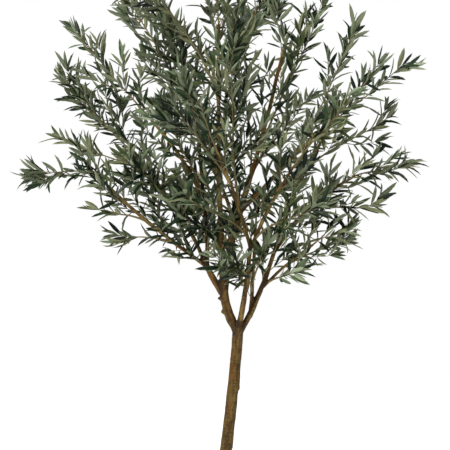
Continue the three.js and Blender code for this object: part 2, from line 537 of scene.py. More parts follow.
def read_frame(wood):
    """The swayed limbs and the crown of foliage solids."""
    noise.seed_set(NOISE_SEED)
    names = sorted(frame["nodes"])
    limbs = rooted([Limb(n) for n in names if not n.startswith("leaves_")])
    fork_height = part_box("trunk")[1].z
    for limb in limbs:
        line = dense(limb.points, 0.012)
        old = np.cumsum([0] + [(b - a).length for a, b in zip(limb.points, limb.points[1:])])
        new = np.cumsum([0] + [(b - a).length for a, b in zip(line, line[1:])])
        limb.radii = [float(r) for r in np.interp(new * old[-1] / new[-1], old, limb.radii)]
        limb.points = [swayed(p, fork_height, wood.sway) for p in line]
    return limbs, Crown([Mass(n) for n in names if n.startswith("leaves_")])


# ---- Wood ----


MAIN_BOUGHS = ("bough_left", "bough_middle", "bough_right")
MAIN_COLLAR = 0.12  # how much wider a main bough is where it leaves the trunk
COLLAR = 0.22  # and any other where it leaves its parent
COLLAR_REACH = 2.6  # girths over which a collar dies away
SLIM = (0.0045, 0.0085)  # boughs of these girths are drawn thicker than the frame's
SLIM_GAIN = 0.30  # by this share at the most,
SLIM_RISE = (0.15, 0.40)  # which comes in between these heights above the fork
KNOB_TILT = 0.35  # how steeply a knob rises
KNOB_LEAN = 0.20  # and how far it leans along its limb
KNOB_STEPS = ((0.3, 1.5), (0.7, 1.25), (0.92, 1.05), (1.0, 0.9))  # shares of its reach and size
BURL_STEPS = 6
# Pruning knobs: the limb, the share along it, the way they face in degrees, their size, and how
# far their ends stand out in girths of the limb.
KNOBS = (
    ("bough_left", 0.72, 190, 0.0070, 1.22),
    ("bough_left", 0.48, 200, 0.0100, 1.16),
    ("bough_left", 0.80, 300, 0.0050, 1.15),
    ("bough_right", 0.36, 310, 0.0055, 1.10),
    ("bough_middle", 0.42, 240, 0.0050, 1.15),
    ("trunk", 0.70, 275, 0.0055, 1.00),
    ("trunk", 0.40, 60, 0.0060, 1.00),
)
# Low swellings: the limb, the shares where they start and end, the way they face in degrees,
# and their height.
BURLS = (
    ("trunk", 0.76, 0.60, 0, 0.0045),
    ("trunk", 0.30, 0.22, 20, 0.0030),
    ("trunk", 0.18, 0.07, 185, 0.0035),
    ("bough_left", 0.30, 0.52, 200, 0.0030),
    ("bough_right", 0.42, 0.24, 350, 0.0030),
)


def add_tube(mesh, points, radii, sides=16):
    """A closed tube along a line, with rounded ends."""
    line = [points[0]] + list(points) + [points[-1]]
    girth = [radii[0] * 0.5] + list(radii) + [radii[-1] * 0.45]
    way = (points[1] - points[0]).normalized()
    line[0] = points[0] - way * radii[0] * 0.5
    line[-1] = points[-1] + (points[-1] - points[-2]).normalized() * radii[-1] * 0.8
    u, v = sideways(way)
    rings = []
    for i, (p, r) in enumerate(zip(line, girth)):
        ahead = line[min(i + 1, len(line) - 1)] - line[max(i - 1, 0)]
        turn = way.rotation_difference(ahead.normalized())
        way = ahead.normalized()
        u, v = turn @ u, turn @ v
        ring = []
        for k in range(sides):
            a = math.tau * k / sides
            ring.append(mesh.verts.new(p + (u * math.cos(a) + v * math.sin(a)) * r))
        rings.append(ring)
    for a, b in zip(rings, rings[1:]):
        for k in range(sides):
            n = (k + 1) % sides
            mesh.faces.new((a[k], a[n], b[n], b[k]))
    mesh.faces.new(rings[0][::-1])
    mesh.faces.new(rings[-1])


def facing(heading, tilt=0):
    """A direction by its heading in degrees and how steeply it rises."""
    return Vector((math.cos(math.radians(heading)), math.sin(math.radians(heading)), tilt))


def wood_body(limbs, fork_height):
    """The trunk and the boughs as closed tubes, each with a collar where it leaves its parent."""
    body = bmesh.new()
    for limb in limbs:
        radii = list(limb.radii)
        if limb.name != "trunk":
            swell = MAIN_COLLAR if limb.name in MAIN_BOUGHS else COLLAR
            gone = 0.0
            for i in range(len(radii)):
                if i:
                    gone += (limb.points[i] - limb.points[i - 1]).length
                height = limb.points[i].z - fork_height
                slim = 1 - smooth_step(*SLIM, radii[i])
                radii[i] *= 1 + SLIM_GAIN * slim * smooth_step(*SLIM_RISE, height)
                radii[i] *= 1 + swell * math.exp(-gone / (COLLAR_REACH * limb.radii[0]))
        add_tube(body, limb.points, radii)
    by_name = {limb.name: limb for limb in limbs}
    for name, share, heading, size, stretch in KNOBS:
        limb = by_name[name]
        i = round(share * (len(limb.points) - 1))
        way = (limb.points[i] - limb.points[i - 1]).normalized()
        out = facing(heading, KNOB_TILT)
        out = (out - way * out.dot(way)).normalized() + way * KNOB_LEAN
        reach = limb.radii[i] * stretch
        line = [limb.points[i] + out * reach * share for share, _ in KNOB_STEPS]
        add_tube(body, line, [size * wide for _, wide in KNOB_STEPS], sides=12)
    for name, start, end, heading, height in BURLS:
        limb = by_name[name]
        last = len(limb.points) - 1
        out = facing(heading)
        line, radii = [], []
        for step in range(BURL_STEPS + 1):
            i = round((start + (end - start) * step / BURL_STEPS) * last)
            line.append(limb.points[i] + out * height * (0.3 + 0.7 * step / BURL_STEPS))
            radii.append(limb.radii[i] * (0.86 + 0.12 * step / BURL_STEPS))
        add_tube(body, line, radii)
    mesh = bpy.data.meshes.new("wood_body")
    body.to_mesh(mesh)
    body.free()
    return mesh


GRAIN_STEP = 0.004  # a point this often along a limb, for the bark's grain
GRAIN_JUMP = 0.37  # between one limb's grain and the next one's, so that they differ
CREASE_REACH = 0.024  # another limb this near darkens the bark with painted shade in the crotch,
CREASE_CLOSE = (0.004, 0.022)  # the most under the first of these gaps, and not past the second
CREASE_TURN = (0.1, 0.97)  # and less the more both limbs lie on the same side
# Each kind of bump: its waves to a metre across the limb and along it, where its noise starts,
# and its share of the relief.
FURROWS = (150, 16, 0, 0.55)
FINE_BUMPS = (330, 60, 5, 0.22)
PLATES = (60, 30, 9, 0.4)
RINGS = (20, 130, 3, 0.25)
FLAT_FOOT = 0.0016  # the bark is pressed flat on the ground below this height


def nearest_limbs(limbs):
    """A tree of every limb's points, with the direction, girth, run and limb at each."""
    rows = []
    run = 0.0
    for limb in limbs:
        line = dense(limb.points, GRAIN_STEP)
        old = np.linspace(0, 1, len(limb.points))
        girth = np.interp(np.linspace(0, 1, len(line)), old, limb.radii)
        for i, p in enumerate(line):
            a, b = line[max(i - 1, 0)], line[min(i + 1, len(line) - 1)]
            if i:
                run += (p - line[i - 1]).length
            rows.append((p, (b - a).normalized(), float(girth[i]), run, limb.name))
        run += GRAIN_JUMP
    tree = KDTree(len(rows))
    for i, row in enumerate(rows):
        tree.insert(row[0], i)
    tree.balance()
    return tree, rows


def crotch_shade(point, own, tree, rows):
    """How much painted shade a point gets in the angle between two limbs, by how deep it lies
    there: from 0 on an open side up to 1.
    """
    centre, _, girth, _, name = rows[own]
    away = (point - centre).normalized()
    deepest = 0.0
    for place, index, distance in tree.find_range(point, girth + CREASE_REACH):
        _, _, other_girth, _, other_name = rows[index]
        if other_name == name:
            continue
        close = 1 - smooth_step(*CREASE_CLOSE, distance - other_girth)
        apart = 1 - smooth_step(*CREASE_TURN, away.dot((point - place).normalized()))
        deepest = max(deepest, close * apart)
    return deepest


def bump(kind, x, y, lengthwise):
    across, along_limb, start, _ = kind
    return noise.noise(Vector((x * across, y * across, lengthwise * along_limb + start)))


def read_vectors(mesh, key):
    """One vector for each vertex of a mesh, as rows."""
    rows = np.zeros(len(mesh.vertices) * 3, np.float32)
    mesh.vertices.foreach_get(key, rows)
    return rows.reshape(-1, 3)


def carve_bark(mesh, limbs, relief):
    """Furrows, plates and rings in the bark, cut to a depth that follows the limb's girth."""
    tree, rows = nearest_limbs(limbs)
    count = len(mesh.vertices)
    normals = read_vectors(mesh, "normal")
    places = read_vectors(mesh, "co")
    grain = np.zeros((count, 3), np.float32)
    depth = np.zeros(count, np.float32)
    girths = np.zeros(count, np.float32)
    painted_crotch_shade = np.zeros(count, np.float32)
    for i in range(count):
        point = Vector(places[i])
        _, index, _ = tree.find(point)
        centre, way, girth, run, _ = rows[index]
        u, v = sideways(way)
        off = point - centre
        x, y = off.dot(u), off.dot(v)
        lengthwise = run + off.dot(way)
        rough = FURROWS[-1] * (abs(bump(FURROWS, x, y, lengthwise)) * 2.2 - 0.5)
        for kind in (FINE_BUMPS, PLATES, RINGS):
            rough += kind[-1] * bump(kind, x, y, lengthwise)
        grain[i] = (x, y, lengthwise)
        depth[i] = rough
        girths[i] = girth
        # painted shade in the crotches between limbs, which darkens the bark's colour
        painted_crotch_shade[i] = crotch_shade(point, index, tree, rows)
        places[i] = point + Vector(normals[i]) * girth * relief * rough
    places[:, 2] = np.where(places[:, 2] < FLAT_FOOT, 0.0, places[:, 2])
    mesh.vertices.foreach_set("co", places.ravel())
    mesh.update()
    fill_attribute(mesh, "grain", "FLOAT_VECTOR", grain, key="vector")
    fill_attribute(mesh, "relief", "FLOAT", depth)
    fill_attribute(mesh, "girth", "FLOAT", girths)
    fill_attribute(mesh, "painted_crotch_shade", "FLOAT", painted_crotch_shade)


# ---- Growth ----


class Shoot:
    """A leader, a side shoot or a twig: its line, its girth, its tint and how it bears leaves."""

    def __init__(self, region, order, points, foot_radius, tip_radius, tint, bare, outer):
        self.region = region
        self.order = order
        self.points = points
        self.foot_radius = foot_radius
        self.tip_radius = tip_radius
        self.tint = tint
        self.bare = bare
        self.outer = outer

    def length(self):
        return sum((b - a).length for a, b in zip(self.points, self.points[1:]))


class Light:
    """Counts the stretches of shoot in each small cube of the crown, as they shade each other."""

    def __init__(self, cell, limit):
        self.cell = cell
        self.limit = limit
        self.counts = {}

    def cube(self, point):
        return tuple(math.floor(c / self.cell) for c in point)

    def room_for(self, points, fullness):
        """Whether a shoot would get light enough, and if so its own shade is counted in."""
        cubes = [self.cube(p) for p in points[1:]]
        if sum(self.counts.get(c, 0) for c in cubes) > self.limit * fullness * len(cubes):
            return False
        self.shade(points)
        return True

    def shade(self, points):
        for p in points:
            c = self.cube(p)
            self.counts[c] = self.counts.get(c, 0) + 1


def pick_tint(draw, outer):
    """A leaf tint for one spray: paler ones towards the outside of the crown."""
    shares = [s * (1 + outer * (i - 1.4) * 0.3) for i, s in enumerate(TINT_SHARES)]
    return draw.choices(range(len(LEAF_TINTS)), weights=[max(s, 1) for s in shares])[0]


LEADER_STEP = 0.022  # a point this often along a leader
LEADER_WOBBLE = 0.008  # how far it strays off an even bow
LEADER_BARE = 0.035  # length at its foot without leaves
LEADER_GIRTH = 0.0050  # its radius at the foot, at the most
LEADER_TIP = 0.0013  # and at its tip
TIP_ROOM = 0.80  # share of a leaf's length left between a leader's tip and its plume's
EARLY_STEP = 0.006  # more bare length for each point that a leader starts back from its place
RUN_ON = 0.26  # length of the leader on a bough that no plume's leader takes up
LEADER_OUTER = 0.4  # how far out in the crown a leader counts as, for its leaves
SHOOT_TIP = 0.0008  # radius at the tip of a shoot
LOW_SHOOT_GIRTH = 0.0016  # radius at the foot of a low shoot
ANY_STRAY = 9.0  # a stray that no shoot reaches
BOUGH_OUTER = 0.1  # how far out a shoot straight off a bough counts as
BOUGH_BARE = 0.03  # its length without leaves,
BOUGH_LENGTHS = (0.45, 0.9)  # its length against the longest shoot's,
BOUGH_STRAYS = (0.3, 1.0)  # and how much of the stray it may use
BEARING_LENGTH = 0.08  # a side shoot longer than this bears twigs,
TWIG_SHARE = 0.45  # the longest of them this share of the longest shoot
SHOOT_STEP = 0.016  # a point this often along a shoot
JITTER = 0.055  # how far each step strays off the last one's way
LIFT_SHARE = 0.5  # how much of the lift one step takes up


def leader_line(start, way, end):
    """A gently bowed line from a limb to the far tip of a plume."""
    span = (end - start).length
    first = start + way * span * 0.36
    last_way = (end - start).normalized().lerp(UP, 0.12).normalized()
    last = end - last_way * span * 0.30
    count = max(5, round(span / LEADER_STEP))
    line = []
    for i in range(count + 1):
        t = i / count
        a, b, c, d = (1 - t) ** 3, 3 * t * (1 - t) ** 2, 3 * t * t * (1 - t), t ** 3
        wobble = noise.noise_vector((start + end) * 3 + Vector((t * 4, 0, 0))) * LEADER_WOBBLE
        line.append(start * a + first * b + last * c + end * d + wobble * t * (1 - t) * 4 * t)
    return line


def leaders(limbs, crown, growth, leaf):
    """A leader for every plume, from the limb at its foot to its far tip.

    A bough whose tip no leader takes up runs on as a leader of its own.
    """
    made = []
    boughs = [limb for limb in limbs if limb.name != "trunk"]
    places = [(limb, i) for limb in boughs for i in range(4, len(limb.points))]
    tree = KDTree(len(places))
    for n, (limb, i) in enumerate(places):
        tree.insert(limb.points[i], n)
    tree.balance()
    followed = set()
    for index, mass in enumerate(crown.masses):
        draw = random.Random(growth.seed * 1000 + index)
        near = [(tree.find(end)[2], end) for end in mass.ends()]
        foot = min(near, key=lambda n: n[0])[1]
        far = max(mass.corners, key=lambda c: (c - foot).length)
        limb, i = places[tree.find(foot)[1]]
        bare = LEADER_BARE
        if i > len(limb.points) - 6 and limb.name not in followed:
            i = len(limb.points) - 1
            followed.add(limb.name)
        else:
            early = min(i - 3, draw.randrange(2, 11))
            bare += early * EARLY_STEP
            i -= early
        start = limb.points[i]
        way = (start - limb.points[i - 2]).normalized()
        out = (far - start).normalized()
        end = far - out * leaf.length * TIP_ROOM
        line = leader_line(start, way.lerp(out, 0.4).normalized(), end)
        radius = min(LEADER_GIRTH, limb.radii[i] * 0.9)
        tint = pick_tint(draw, LEADER_OUTER)
        made.append(Shoot(mass.region, 0, line, radius, LEADER_TIP, tint, bare, LEADER_OUTER))
    for index, limb in enumerate(boughs):
        if limb.name in followed:
            continue
        draw = random.Random(growth.seed * 2000 + index)
        tip = limb.points[-1]
        way = (tip - limb.points[-3]).normalized()
        line = grow_line(crown, Bud(0, tip, way, RUN_ON, LEADER_OUTER, 0.0), growth, draw)
        if len(line) > 2:
            region = crown.nearest(line[1]).region
            radius = limb.radii[-1] * 0.95
            tint = pick_tint(draw, LEADER_OUTER)
            made.append(Shoot(region, 0, line, radius, LEADER_TIP, tint, 0.02, LEADER_OUTER))
    return made


class Bud:
    """A place on a limb or on a shoot from which another shoot may grow."""

    def __init__(self, order, place, heading, wanted, outer, stray, bare=0.012):
        self.order = order
        self.place = place
        self.heading = heading
        self.wanted = wanted
        self.outer = outer
        self.stray = stray
        self.bare = bare


def buds_along(points, gap, first, angle, draw):
    """(place, heading, share) of crossed pairs of buds along a line of points."""
    turn = draw.uniform(0, math.tau)
    for place, way, share in along(points, gap, first):
        turn += math.pi / 2 + draw.uniform(-0.4, 0.4)
        u, v = sideways(way)
        for side in (0, math.pi):
            out = u * math.cos(turn + side) + v * math.sin(turn + side)
            opening = angle * draw.uniform(0.75, 1.2) * (1.12 - 0.45 * share)
            yield place, way * math.cos(opening) + out * math.sin(opening), share


# The few shoots on boughs too thick for others: the limb, the share along it, the way they
# head and their length.
LOW_SHOOTS = (
    ("bough_left_low", 0.10, (-0.9, -0.3, 0.05), 0.085),
    ("bough_left_low", 0.04, (-0.5, -0.6, 0.25), 0.060),
    ("bough_left_low", 0.22, (-0.5, 0.6, -0.10), 0.060),
    ("bough_left", 0.97, (0.5, -0.8, 0.25), 0.075),
    ("bough_right", 0.86, (0.9, -0.5, 0.10), 0.050),
    ("bough_right", 0.97, (0.8, 0.3, 0.05), 0.070),
)


def bough_buds(limbs, growth, draw):
    """Buds straight on the thinner boughs, whose shoots may stand outside the plumes."""
    made = []
    for limb in limbs:
        shares = np.linspace(0, 1, len(limb.radii))
        for place, heading, share in buds_along(
            limb.points, growth.bough_gap, growth.bough_gap, growth.shoot_angle, draw
        ):
            if float(np.interp(share, shares, limb.radii)) < growth.bough_limit:
                wanted = growth.shoot_length * draw.uniform(*BOUGH_LENGTHS)
                stray = growth.bough_stray * draw.uniform(*BOUGH_STRAYS)
                made.append(Bud(1, place, heading, wanted, BOUGH_OUTER, stray, BOUGH_BARE))
    return made


def low_shoots(limbs, crown, growth, draw):
    """The few shoots that the thick low boughs bear, outside the plumes."""
    made = []
    by_name = {limb.name: limb for limb in limbs}
    for name, share, heading, wanted in LOW_SHOOTS:
        points = by_name[name].points
        place = points[round(share * (len(points) - 1))]
        bud = Bud(1, place, Vector(heading), wanted, BOUGH_OUTER, ANY_STRAY, bare=0.02)
        line = grow_line(crown, bud, growth, draw)
        region = crown.nearest(line[-1]).region
        tint = pick_tint(draw, bud.outer)
        shoot = Shoot(region, 1, line, LOW_SHOOT_GIRTH, SHOOT_TIP, tint, bud.bare, bud.outer)
        made.append(shoot)
    return made


def shoot_buds(parent, growth, draw, gap, longest):
    """Buds along a leader or a side shoot, which bear shorter shoots towards its tip."""
    made = []
    first = gap * draw.uniform(0.4, 1.0) + 0.015
    for place, heading, share in buds_along(parent.points, gap, first, growth.shoot_angle, draw):
        wanted = longest * draw.uniform(0.5, 1.0) * (1.05 - 0.55 * share)
        stray = draw.uniform(-growth.skin, growth.stray)
        made.append(Bud(parent.order + 1, place, heading, wanted, share, stray))
    return made


def grow_line(crown, bud, growth, draw):
    """A line that bends up to the light and stops where the crown's room ends."""
    line = [bud.place]
    way = bud.heading.normalized()
    place = bud.place
    for _ in range(max(2, round(bud.wanted / SHOOT_STEP))):
        jitter = Vector((draw.gauss(0, 1), draw.gauss(0, 1), draw.gauss(0, 1))) * JITTER
        way = (way + UP * growth.lift * LIFT_SHARE + jitter).normalized()
        place = place + way * SHOOT_STEP
        if not crown.holds(place, bud.stray):
            break
        line.append(place)
    return line


def grow_buds(buds, crown, growth, light, draw):
    """The buds that find room and light, tried in a random order, as shoots."""
    made = []
    draw.shuffle(buds)
    for bud in buds:
        line = grow_line(crown, bud, growth, draw)
        if len(line) < 4:
            continue
        mass = crown.nearest(line[len(line) // 2])
        if light.room_for(line, mass.fullness):
            foot = min(0.0023 - 0.0004 * bud.order, 0.001 + bud.wanted * 0.007)
            tint = pick_tint(draw, bud.outer)
            made.append(
                Shoot(mass.region, bud.order, line, foot, SHOOT_TIP, tint, bud.bare, bud.outer)
            )
    return made


def grow_crown(growth, leaf, limbs, crown):
    """Every leader, side shoot and twig of the crown."""
    draw = random.Random(growth.seed * 77)
    light = Light(growth.crowd_cell, growth.crowd_limit)
    first = leaders(limbs, crown, growth, leaf)
    for leader in first:
        light.shade(leader.points)
    low = low_shoots(limbs, crown, growth, random.Random(growth.seed * 55))
    buds = bough_buds(limbs, growth, draw)
    for leader in first:
        buds += shoot_buds(leader, growth, draw, growth.leader_gap, growth.shoot_length)
    second = grow_buds(buds, crown, growth, light, draw)
    buds = []
    for shoot in second:
        if shoot.length() > BEARING_LENGTH:
            longest = growth.shoot_length * TWIG_SHARE
            buds += shoot_buds(shoot, growth, draw, growth.shoot_gap, longest)
    return first + low + second + grow_buds(buds, crown, growth, light, draw)


# ---- Twigs ----


def girth_along(shoot, share):
    return shoot.foot_radius + (shoot.tip_radius - shoot.foot_radius) * share ** 0.8


def twig_lines(shoots, name):
    """A mesh of bare edges along the shoots, with the girth and the tint at each point."""
    places, edges, girths, tints = [], [], [], []
    for shoot in shoots:
        base = len(places)
        count = len(shoot.points)
        for i, p in enumerate(shoot.points):
            places.append(p)
            girths.append(girth_along(shoot, i / (count - 1)))
            tints.append(min(shoot.order, len(TWIG_TINTS) - 1))
        edges += [(base + i, base + i + 1) for i in range(count - 1)]
    mesh = bpy.data.meshes.new(name)
    mesh.from_pydata(places, edges, [])
    fill_attribute(mesh, "girth", "FLOAT", girths)
    fill_whole_numbers(mesh, "tint", tints)
    return mesh


def add_node(tree, kind, inputs, **settings):
    """A new node with its settings, and its inputs linked or set."""
    node = tree.nodes.new(kind)
    for key, value in settings.items():
        setattr(node, key, value)
    for key, value in inputs.items():
        if isinstance(value, bpy.types.NodeSocket):
            tree.links.new(value, node.inputs[key])
        else:
            node.inputs[key].default_value = value
    return node


def attribute_node(tree, name, kind):
    kind_of_node = "GeometryNodeInputNamedAttribute"
    return add_node(tree, kind_of_node, {"Name": name}, data_type=kind).outputs["Attribute"]


def product(tree, a, b):
    node = add_node(tree, "ShaderNodeMath", {0: a, 1: b}, operation="MULTIPLY")
    return node.outputs[0]


def same_number(tree, value, number):
    node = add_node(tree, "FunctionNodeCompare", {}, data_type="INT", operation="EQUAL")
    whole = {s.identifier: s for s in node.inputs}
    tree.links.new(value, whole["A_INT"])
    whole["B_INT"].default_value = number
    return node.outputs["Result"]


def new_tree(name):
    tree = bpy.data.node_groups.new(name, "GeometryNodeTree")
    tree.interface.new_socket("Geometry", in_out="INPUT", socket_type="NodeSocketGeometry")
    tree.interface.new_socket("Geometry", in_out="OUTPUT", socket_type="NodeSocketGeometry")
    return tree


def new_input(tree, name, kind):
    return tree.interface.new_socket(name, in_out="INPUT", socket_type="NodeSocket" + kind)


def set_inputs(modifier, tree, values):
    """Sets a modifier's inputs by the identifiers of their named sockets."""
    found = {s.name: s.identifier for s in tree.interface.items_tree if s.in_out == "INPUT"}
    for name, value in values.items():
        modifier[found[name]] = value


def twig_tree(materials):
    """Sweeps a round section along the lines and colours it by its tint."""
    tree = new_tree("twig_sweep")
    new_input(tree, "Sides", "Int")
    new_input(tree, "Thickness", "Float")
    start = tree.nodes.new("NodeGroupInput").outputs
    lines = add_node(tree, "GeometryNodeMeshToCurve", {"Mesh": start["Geometry"]})
    size = {"Resolution": start["Sides"], "Radius": 1.0}
    section = add_node(tree, "GeometryNodeCurvePrimitiveCircle", size)
    sweep = add_node(tree, "GeometryNodeCurveToMesh", {
        "Curve": lines.outputs["Curve"],
        "Profile Curve": section.outputs["Curve"],
        "Scale": product(tree, attribute_node(tree, "girth", "FLOAT"), start["Thickness"]),
        "Fill Caps": True,
    })
    swept = {"Geometry": sweep.outputs["Mesh"]}
    realized = add_node(tree, "GeometryNodeRealizeInstances", swept)
    smooth = add_node(
        tree, "GeometryNodeSetShadeSmooth", {"Geometry": realized.outputs["Geometry"]}
    )
    last = smooth.outputs["Geometry"]
    tint = attribute_node(tree, "tint", "INT")
    for number, material in enumerate(materials):
        last = dealt_material(tree, last, same_number(tree, tint, number), material)
    add_node(tree, "NodeGroupOutput", {"Geometry": last})
    return tree


def dealt_material(tree, geometry, chosen, material):
    inputs = {"Geometry": geometry, "Selection": chosen, "Material": material}
    return add_node(tree, "GeometryNodeSetMaterial", inputs).outputs["Geometry"]


# ---- Leaves ----

# Leaf shapes: how far the blade arches down, its fold along the midrib, how it curves sideways
# and how it twists from foot to tip, each as a share of its length or in radians.
LEAF_SHAPES = (
    ("straight", 0.03, 0.30, 0.00, 0.00),
    ("arched", 0.10, 0.26, 0.02, 0.15),
    ("drooping", 0.18, 0.34, -0.03, -0.25),
    ("upturned", -0.07, 0.40, 0.03, 0.20),
    ("sickle", 0.06, 0.28, 0.08, 0.35),
    ("rolled", 0.05, 0.62, -0.05, -0.40),
)
BLADE = ((0.05, 0.08), (0.24, 0.40), (0.52, 0.50), (0.80, 0.34))  # (share along, half width)
BLADE_THICKNESS = 0.012  # share of the length


def leaf_shape(name, arch, fold, sickle, twist, group):
    """One leaf of unit length and width: a folded upper face and a lower face in one outline."""
    made = bmesh.new()
    under = made.faces.layers.bool.new("underside")

    def place(y, x, lower=False):
        turn = twist * y
        rise = -arch * (2 * y - 0.6) * y
        across = x * math.cos(turn)
        tilt = x * math.sin(turn) * 0.2
        ridge = (abs(x) * fold * 0.26) - (BLADE_THICKNESS if lower else 0.0)
        return made.verts.new((across + sickle * 5 * y * y * 0.5, y, rise + tilt + ridge))

    foot, tip = place(0, 0), place(1, 0)
    rows = [(place(y, -w), place(y, 0), place(y, w), place(y, 0, True)) for y, w in BLADE]

    def face(corners, lower):
        made.faces.new(corners)[under] = lower

    left, top, right, low = rows[0]
    face((foot, top, left), False)
    face((foot, right, top), False)
    face((foot, left, low), True)
    face((foot, low, right), True)
    for (l0, t0, r0, b0), (l1, t1, r1, b1) in zip(rows, rows[1:]):
        face((l0, t0, t1, l1), False)
        face((t0, r0, r1, t1), False)
        face((l1, b1, b0, l0), True)
        face((b1, r1, r0, b0), True)
    left, top, right, low = rows[-1]
    face((left, top, tip), False)
    face((top, right, tip), False)
    face((left, tip, low), True)
    face((low, tip, right), True)
    mesh = bpy.data.meshes.new("leaf_" + name)
    made.to_mesh(mesh)
    made.free()
    leaf = bpy.data.objects.new("leaf_" + name, mesh)
    group.objects.link(leaf)


def leaf_tree(tops, unders):
    """Sets a leaf on every point, by the point's own directions, sizes, shape and tint."""
    tree = new_tree("leaf_sprays")
    new_input(tree, "Leaf shapes", "Collection")
    new_input(tree, "Width", "Float")
    new_input(tree, "Length", "Float")
    start = tree.nodes.new("NodeGroupInput").outputs
    shapes = add_node(tree, "GeometryNodeCollectionInfo", {
        "Collection": start["Leaf shapes"],
        "Separate Children": True,
        "Reset Children": True,
    })
    ways = {
        "Primary Axis": attribute_node(tree, "way", "FLOAT_VECTOR"),
        "Secondary Axis": attribute_node(tree, "face", "FLOAT_VECTOR"),
    }
    axes = add_node(
        tree, "FunctionNodeAxesToRotation", ways, primary_axis="Y", secondary_axis="Z"
    )
    size = attribute_node(tree, "size", "FLOAT")
    width = product(tree, size, start["Width"])
    length = product(tree, size, start["Length"])
    scale = add_node(tree, "ShaderNodeCombineXYZ", {"X": width, "Y": length, "Z": length})
    planted = add_node(tree, "GeometryNodeInstanceOnPoints", {
        "Points": start["Geometry"],
        "Instance": shapes.outputs["Instances"],
        "Pick Instance": True,
        "Instance Index": attribute_node(tree, "shape", "INT"),
        "Rotation": axes.outputs["Rotation"],
        "Scale": scale.outputs["Vector"],
    })
    instances = {"Geometry": planted.outputs["Instances"]}
    last = add_node(tree, "GeometryNodeRealizeInstances", instances).outputs["Geometry"]
    tint = attribute_node(tree, "tint", "INT")
    underside = attribute_node(tree, "underside", "BOOLEAN")
    for number, (top, under) in enumerate(zip(tops, unders)):
        chosen = same_number(tree, tint, number)
        last = dealt_material(tree, last, chosen, top)
        both = add_node(tree, "FunctionNodeBooleanMath", {0: chosen, 1: underside}, operation="AND")
        last = dealt_material(tree, last, both.outputs[0], under)
    add_node(tree, "NodeGroupOutput", {"Geometry": last})
    return tree


class LeafSite:
    """Where one leaf sits, the way its blade points and the way its upper face looks."""

    def __init__(self, place, way, face, size, shape, tint):
        self.place = place
        self.way = way
        self.face = face
        self.size = size
        self.shape = shape
        self.tint = tint


LEAF_STRAY = 0.14  # how far a blade strays off its even angle
FACE_STRAY = 0.55  # and its face off the even turn
OTHER_TINT = 0.2  # share of leaves a tint darker or paler than their spray
MISSING = 0.10  # share of leaves that have dropped
MISSING_PAIRS = 0.35  # share of a leader's pairs that have, at its foot
LEAF_SIZES = (0.54, 0.92)  # the least and the most, as shares of a grown leaf
OUTER_GAIN = 0.32  # leaves at the outside or the tip are bigger by this
TUFT_GAIN = 0.26  # and the leaves of a tip's tuft by this
TUFT_ANGLES = (8, 28)  # how far those open, in degrees


def leaf_site(place, way, out, angle, size, tint, leaf, draw):
    """A leaf that opens from its shoot by an angle, with its face part turned to the light."""
    blade = way * math.cos(angle) + out * math.sin(angle)
    inner = way * math.sin(angle) - out * math.cos(angle)
    stray = Vector((draw.gauss(0, 1), draw.gauss(0, 1), draw.gauss(0, 1)))
    blade = (blade + stray * LEAF_STRAY).normalized()
    sun = (Vector((place.x, place.y, 0)).normalized() + UP * 0.7).normalized()
    look = inner.lerp(sun, leaf.turn_up * draw.uniform(0.3, 1.5)) + stray.yzx * FACE_STRAY
    look = (look - blade * look.dot(blade)).normalized()
    shape = draw.randrange(len(LEAF_SHAPES))
    if draw.random() < OTHER_TINT:
        tint = min(len(LEAF_TINTS) - 1, max(0, tint + draw.choice((-1, 1))))
    return LeafSite(place, blade, look, size, shape, tint)


def leaves_on(shoot, leaf, draw):
    """Crossed pairs of leaves along a shoot and a tuft at its tip."""
    sites = []
    turn = draw.uniform(0, math.tau)
    gap = leaf.pair_gap * draw.uniform(0.85, 1.15)
    for place, way, share in along(shoot.points, gap, shoot.bare):
        turn += math.pi / 2 + draw.uniform(-0.3, 0.3)
        if shoot.order == 0 and draw.random() < MISSING_PAIRS * (1 - share):
            continue
        u, v = sideways(way)
        for side in (0, math.pi):
            if draw.random() < MISSING:
                continue
            out = u * math.cos(turn + side) + v * math.sin(turn + side)
            angle = leaf.angle * draw.uniform(0.55, 1.75) * (1.1 - 0.3 * share)
            size = draw.uniform(*LEAF_SIZES) + OUTER_GAIN * max(shoot.outer, share)
            sites.append(leaf_site(place, way, out, angle, size, shoot.tint, leaf, draw))
    tip = shoot.points[-1]
    way = (shoot.points[-1] - shoot.points[-2]).normalized()
    u, v = sideways(way)
    count = draw.choice((2, 3, 3, 4))
    for k in range(count):
        turn += math.tau / count
        out = u * math.cos(turn) + v * math.sin(turn)
        angle = math.radians(draw.uniform(*TUFT_ANGLES))
        size = draw.uniform(*LEAF_SIZES) + TUFT_GAIN * shoot.outer
        tint = min(len(LEAF_TINTS) - 1, shoot.tint + draw.choice((0, 0, 1)))
        sites.append(leaf_site(tip, way, out, angle, size, tint, leaf, draw))
    return sites


def leaf_points(sites, name):
    """A mesh of loose points that carries what each leaf needs."""
    mesh = bpy.data.meshes.new(name)
    mesh.from_pydata([s.place for s in sites], [], [])
    fill_attribute(mesh, "way", "FLOAT_VECTOR", [s.way[:] for s in sites], key="vector")
    fill_attribute(mesh, "face", "FLOAT_VECTOR", [s.face[:] for s in sites], key="vector")
    fill_attribute(mesh, "size", "FLOAT", [s.size for s in sites])
    fill_whole_numbers(mesh, "shape", [s.shape for s in sites])
    fill_whole_numbers(mesh, "tint", [s.tint for s in sites])
    return mesh


# ---- Materials ----


def plain_material(name, colour, roughness, specular=0.5):
    material = bpy.data.materials.new(name)
    material.use_nodes = True
    shader = material.node_tree.nodes["Principled BSDF"]
    shader.inputs["Base Color"].default_value = (*colour, 1)
    shader.inputs["Roughness"].default_value = roughness
    shader.inputs["Specular IOR Level"].default_value = specular
    return material


def leaf_materials():
    tops, unders = [], []
    for name, top, under in LEAF_TINTS:
        tops.append(plain_material(f"leaf top {name}", top, 0.42, 0.30))
        unders.append(plain_material(f"leaf underside {name}", under, 0.80, 0.25))
    return tops, unders


